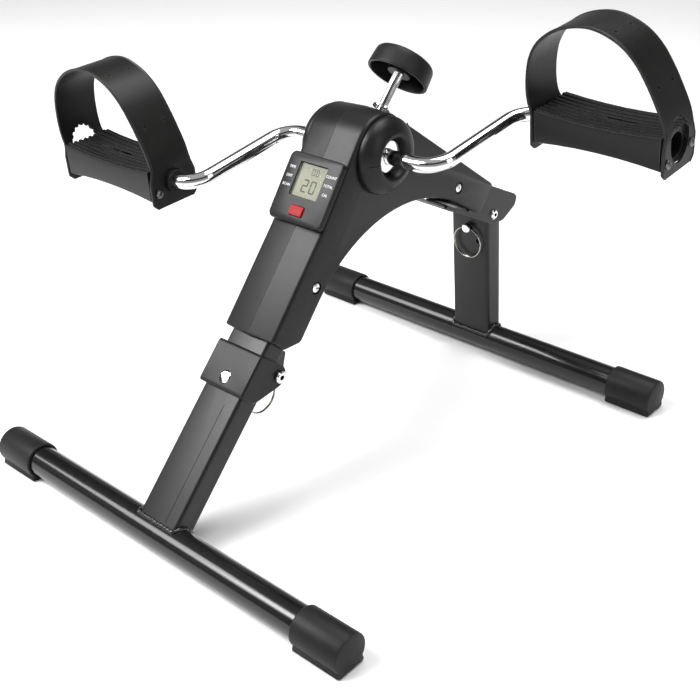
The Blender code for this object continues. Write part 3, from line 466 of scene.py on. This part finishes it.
# ---- pull rings: a split ring of nearly two turns -------------------------------
for node, name, body, c, u, v in (
        ("front_pull_ring", "front_ring_wire", "front_ring", front(125.8, -32.8), (0, *FD), (0, *FN)),
        ("rear_pull_ring", "rear_ring_wire", "rear_ring", rear(REAR_PIN_S - RING_R, 13.2), (1, 0, 0), (0, *RU))):
    u, v = Vector(u), Vector(v)
    w, path, n = u.cross(v).normalized(), [], 190
    for k in range(n + 1):
        a = 2 * math.pi * RING_TURNS * k / n + 0.5
        off = -RING_WIRE + 1.12 * min(1.0, max(0.0, (k / n - 0.38) / 0.24))     # steps across mid-way
        path.append(Vector((0, *c)) + (u * math.cos(a) + v * math.sin(a)) * RING_R + w * off)
    piece(name, sweep(path, RING_WIRE, 12), "ring", body, [node], angle=60)


# ---- straps --------------------------------------------------------------------
# the band's middle line in the pedal's own axes: x outward, z up
STRAP = ((-54.6, -19.0), (-54.6, -10.0), (-54.6, 2.0), (-55.6, 8.0), (-58.7, 15.5), (-60.3, 25.0),
         (-60.1, 38.0), (-57.6, 51.5), (-51.0, 63.5), (-39.5, 73.0), (-26.0, 78.6), (-11.0, 80.8),
         (2.5, 78.6), (17.0, 72.0), (28.8, 61.5), (38.4, 47.5), (45.8, 34.0), (51.2, 22.5),
         (54.0, 12.0), (54.6, 4.0), (54.6, -8.0), (54.6, -19.0))
STRAP_SCREWS = ((-16.5, -8.0, 1), (16.5, -3.5, 1), (-16.0, -6.5, -1))    # y, z, outer 1 or inner -1


def spline(pts, n):
    """A smooth curve through the points, n steps to each span."""
    out = []
    for i in range(len(pts) - 1):
        p0, p1, p2, p3 = (Vector(pts[max(0, min(len(pts) - 1, k))]) for k in (i - 1, i, i + 1, i + 2))
        for j in range(n):
            t = j / n
            out.append(0.5 * ((2 * p1) + (p2 - p0) * t + (2 * p0 - 5 * p1 + 4 * p2 - p3) * t * t
                              + (3 * p1 - p0 - 3 * p2 + p3) * t ** 3))
    return out + [Vector(pts[-1])]


def strap(side):
    """A moulded band with raised rims, its end openings, screw holes and blind dimples."""
    sign, place = (1.0 if side == "right" else -1.0), pedal_place(side)

    def put(b):
        b.transform(place); return b

    pts = spline(STRAP, 6)
    rings = []
    for i, p in enumerate(pts):
        d = (pts[min(i + 1, len(pts) - 1)] - pts[max(i - 1, 0)]).normalized()
        if p.y < 3.0: d = Vector((0.0, 1.0 if p.x < 0 else -1.0))
        nrm = Vector((-d.y, d.x))
        w = 19.5 if p.y >= 12 else min(22.6, 19.5 + (12.0 - p.y) * 0.32)
        if p.y < -15: w = 22.6 - 4.0 * (-15 - p.y) / 4.0
        sec = [(-w + 0.5, 1.15), (-w + 1.4, 1.2), (-w + 1.9, 0.75), (w - 1.9, 0.75), (w - 1.4, 1.2),
               (w - 0.5, 1.15), (w, 0.7), (w, -0.7), (w - 0.5, -1.15), (w - 2.0, -1.2), (-w + 2.0, -1.2),
               (-w + 0.5, -1.15), (-w, -0.7), (-w, 0.7)]
        rings.append([(p.x + nrm.x * h, y, p.y + nrm.y * h) for y, h in sec])

    def across(way, reach):
        """The x range that cuts through the band's end, on the outer side (way 1) or the inner (way -1)."""
        return sorted((way * sign * 51.2, way * sign * reach))

    teeth = []
    for k in range(144):
        ang = 2 * math.pi * k / 144
        k2 = 0.93 if math.radians(20) < ang < math.radians(160) and k % 8 < 4 else 1.0
        teeth.append((12.9 * k2 * math.cos(ang), 4.6 + 17.6 * k2 * math.sin(ang)))
    cuts = [put(slab(teeth, *across(1, 63.0))), put(rod(*across(-1, 58.2), (0, 0), 9.5, 40))]
    for y, z, way in STRAP_SCREWS: cuts.append(put(rod(*across(way, 58.2), (y, z), 2.1, 24)))
    for k in (40, 56, 74, 92):
        p = pts[k]; d = (pts[k + 1] - pts[k - 1]).normalized(); nrm = Vector((-d.y, d.x))
        for y in (-9.5, 9.5):
            dimple = [(0.1, 0), (0.1, 1.6), (2.2, 1.6), (2.2, 0)]
            cuts.append(put(turned(dimple, (p.x, y, p.y), (nrm.x, 0, nrm.y), 16)))
    piece("strap_band_" + side, put(loft(rings)), "strap", "pedal_" + side, ["pedal_strap_" + side],
          cuts, angle=40)


strap("left"); strap("right")

# ---- weld beads ------------------------------------------------------------------
for name, place, body in (("front_weld", front, "front_leg"), ("rear_weld", rear, "rear_leg")):
    poly = fillet([(-20.6, -10.6, 2.5), (20.6, -10.6, 2.5), (20.6, 10.6, 2.5), (-20.6, 10.6, 2.5)], 4)
    dense = []
    for i in range(len(poly)):
        a0, b0 = Vector(poly[i]), Vector(poly[(i + 1) % len(poly)])
        n = max(1, int((b0 - a0).length / 0.6))
        dense += [a0.lerp(b0, k / n) for k in range(n)]
    rough = [RNG.uniform(-0.16, 0.16) for _ in dense]
    path = [(x, *place(math.sqrt(BAR_R ** 2 - n * n) + 0.5, n)) for x, n in dense]
    piece(name, sweep(path, lambda i: 1.35 + 0.55 * abs(math.sin(i * 0.52)) + rough[i], 12, True), "weld", body,
          angle=80)


# ---- console details ---------------------------------------------------------------
def on_console(x0, x1, u0, u1, n0, n1, r=0.05):
    """A flat block lying on the console's face."""
    poly = fillet([(x0, u0, r), (x1, u0, r), (x1, u1, r), (x0, u1, r)], 2)
    return loft([[(x, *console_at(u, n)) for x, u in poly] for n in (n0, n1)])


DIGIT = {0: "abcdef", 2: "abged"}     # lit bars
LCD_DEPTH = (-2.48, -2.38)


def digit(name, x, u, w, h, value):
    t = w * 0.2
    seg = {"a": (x + t * .6, x + w - t * .6, u + h - t, u + h),
           "g": (x + t * .6, x + w - t * .6, u + h / 2 - t / 2, u + h / 2 + t / 2),
           "d": (x + t * .6, x + w - t * .6, u, u + t), "f": (x, x + t, u + h / 2 + .25, u + h - t * .5),
           "b": (x + w - t, x + w, u + h / 2 + .25, u + h - t * .5), "e": (x, x + t, u + t * .5, u + h / 2 - .25),
           "c": (x + w - t, x + w, u + t * .5, u + h / 2 - .25)}
    for s in DIGIT[value]:
        piece("%s_%s" % (name, s), on_console(*seg[s], *LCD_DEPTH), "segment", "body")


digit("lcd_big_1", -6.4, -2.2, 5.6, 10.2, 2)
digit("lcd_big_2", 1.4, -2.2, 5.6, 10.2, 0)
digit("lcd_small_1", -1.5, 11.8, 2.9, 5.2, 0)
digit("lcd_small_2", 2.6, 11.8, 2.9, 5.2, 0)


def label(name, text, x, u, size):
    """A small printed word on the console's face."""
    cu = bpy.data.curves.new(name, "FONT")
    cu.body, cu.size, cu.extrude, cu.align_x, cu.align_y = text, size * MM, 0.00004, "CENTER", "CENTER"
    tmp = bpy.data.objects.new(name + "_t", cu); bpy.context.scene.collection.objects.link(tmp)
    dg = bpy.context.evaluated_depsgraph_get(); dg.update()
    me = bpy.data.meshes.new_from_object(tmp.evaluated_get(dg)); bpy.data.objects.remove(tmp)
    y, z = console_at(u, 0.05)
    rot = Matrix(((1, 0, 0), (0, CONSOLE_C, -CONSOLE_S), (0, CONSOLE_S, CONSOLE_C))).to_4x4()
    me.transform(Matrix.Translation((x * MM, (y + SHIFT_Y) * MM, z * MM)) @ rot)
    o = bpy.data.objects.new(name, me); bpy.context.scene.collection.objects.link(o)
    me.materials.clear(); me.materials.append(M["print"])
    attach(o, "body")


for i, (l, r) in enumerate((("TIME", "COUNT"), ("DIST", "TOTAL"), ("SCAN", "CAL"))):
    label("label_left_%d" % i, l, -19.6, 14.0 - 7.0 * i, 2.9)
    label("label_right_%d" % i, r, 19.9, 14.0 - 7.0 * i, 2.9)


# ---- small details -------------------------------------------------------------------
def cross(name, body, c, x, sgn, size, put=None):
    """The two dark bars of a screw head's cross: painted shade laid in place of its cross recess."""
    for k, (dy, dz) in enumerate(((size, 0.28), (0.28, size))):
        b = slab([(c[0] - dy, c[1] - dz), (c[0] + dy, c[1] - dz), (c[0] + dy, c[1] + dz), (c[0] - dy, c[1] + dz)],
                 *sorted((x, x + sgn * 0.05)))
        if put is not None: b.transform(put)
        piece("%s_%d" % (name, k), b, "painted_shade", body)


# painted shade: flush dark bars on each screw head instead of a cut cross recess
for i, c in enumerate(SCREWS): cross("housing_screw_cross_shade_%d" % i, "body", c, 26.36, 1, 1.5)
STRAP_SCREW_TIP = 52.2 + 3.2 + 0.4 + 1.85
for side, sgn in SIDES:
    for i, (y, z, way) in enumerate(STRAP_SCREWS):
        cross("strap_cross_shade_%s_%d" % (side, i), "pedal_" + side, (y, z), sgn * way * STRAP_SCREW_TIP, sgn * way, 1.3,
              pedal_place(side))

# painted shade: a dark disc on each pivot bolt's tip in place of the shade inside its well
for name, node, body in (("front_bolt_well_shade", "front_pivot_bolt", "front_leg"),
                         ("rear_bolt_well_shade", "rear_pivot_bolt", "body")):
    lo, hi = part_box(node)
    centre = ((lo.y + hi.y) / 2 / MM - SHIFT_Y, (lo.z + hi.z) / 2 / MM)
    tip, well_shade_r = hi.x / MM, (hi.z - lo.z) / 2 / MM * 0.34
    piece(name, rod(tip - 0.1, tip + 0.04, centre, well_shade_r, 32), "painted_shade", body)

# painted shade: a thin dark line along the front leg's seam
seam = [(8.0, *front(s, 10.02)) for s in range(11, 108, 4)]
piece("leg_seam_shade", sweep(seam, 0.16, 8), "painted_shade", "front_leg")
# painted shade: a dark disc where the rear leg's hole falls into shade, with a raised rim in the leg's paint around it
eye = (9.5, *rear(REAR_PIN_S - 12.5, 10.0))
piece("rear_leg_hole_shade", turned([(-0.3, 0), (-0.3, 2.4), (0.06, 2.4), (0.06, 0)], eye, (0, *RN), 32), "painted_shade",
      "rear_leg")
rim = [(-0.2, 2.4), (0.12, 2.4), (0.25, 2.8), (0.12, 3.2), (-0.2, 3.2)]
piece("rear_leg_hole_rim", turned(rim, eye, (0, *RN), 40, ring=True), "leg", "rear_leg")

# ---- stage, light, camera -------------------------------------------------------------
bm = bmesh.new()
bmesh.ops.create_grid(bm, x_segments=12, y_segments=12, size=9.0)
me = bpy.data.meshes.new("floor"); bm.to_mesh(me); bm.free()
floor = bpy.data.objects.new("floor", me); bpy.context.scene.collection.objects.link(floor)
floor.location.z = -0.0004
me.materials.append(mat("pale_floor", (0.90, 0.90, 0.90), 0.75, vary=0.01, grain=0.02, scale=300))

bpy.context.scene.view_settings.view_transform = "Standard"
world = bpy.data.worlds.new("studio"); bpy.context.scene.world = world
world.use_nodes = True
nt = world.node_tree
# pale at the horizon, then dark and bright bands, which the chrome shows
BANDS = ((0.0, 1.05), (0.07, 1.00), (0.11, 0.05), (0.18, 0.05), (0.24, 0.60),
         (0.34, 0.60), (0.42, 0.05), (0.66, 0.05), (0.80, 0.55), (1.0, 0.60))     # upward share, brightness
coords, split = nt.nodes.new("ShaderNodeTexCoord"), nt.nodes.new("ShaderNodeSeparateXYZ")
bands = nt.nodes.new("ShaderNodeValToRGB")
nt.links.new(coords.outputs["Generated"], split.inputs[0]); nt.links.new(split.outputs["Z"], bands.inputs[0])
elements = bands.color_ramp.elements
for element, (pos, v) in zip((elements[0], elements[1]), (BANDS[0], BANDS[-1])):
    element.position, element.color = pos, (v, v, v, 1)
for pos, v in BANDS[1:-1]:
    elements.new(pos).color = (v, v, v, 1)
nt.links.new(bands.outputs["Color"], nt.nodes["Background"].inputs["Color"])
nt.nodes["Background"].inputs["Strength"].default_value = 0.75


def softbox(name, pos, target, size, power):
    li = bpy.data.lights.new(name, "AREA"); li.shape = "RECTANGLE"
    li.size, li.size_y = size; li.energy = power
    o = bpy.data.objects.new(name, li); bpy.context.scene.collection.objects.link(o)
    o.location = pos
    o.rotation_euler = (Vector(target) - Vector(pos)).to_track_quat("-Z", "Y").to_euler()


softbox("key", (-0.7, -1.2, 1.7), (0, 0, 0.15), (1.0, 1.0), 44)
softbox("sheen", (-1.35, -1.17, 1.55), (0, 0, 0.15), (0.9, 0.9), 26)
softbox("top", (0.2, 0.5, 1.9), (0, 0, 0.1), (1.4, 1.0), 30)
softbox("side", (1.6, 0.1, 0.9), (0, 0, 0.2), (0.5, 1.2), 5)

CAMERA_AT, CAMERA_LENS, CAMERA_SENSOR = (0.5672, -0.58913, 0.55233), 58.85, 36.0
az, el, roll = math.radians(43.29), math.radians(29.99), math.radians(2.55)
back = Vector((math.sin(az) * math.cos(el), -math.cos(az) * math.cos(el), math.sin(el)))
right = (-back).cross(Vector((0, 0, 1))).normalized()
down = (-back).cross(right)
cam_x = right * math.cos(roll) + down * math.sin(roll)
cam_down = -right * math.sin(roll) + down * math.cos(roll)
lens = bpy.data.cameras.new("camera")
lens.lens, lens.sensor_width, lens.clip_start = CAMERA_LENS, CAMERA_SENSOR, 0.01
camera = bpy.data.objects.new("camera", lens); bpy.context.scene.collection.objects.link(camera)
camera.matrix_world = Matrix.Translation(CAMERA_AT) @ Matrix((cam_x, -cam_down, back)).transposed().to_4x4()
bpy.context.scene.camera = camera
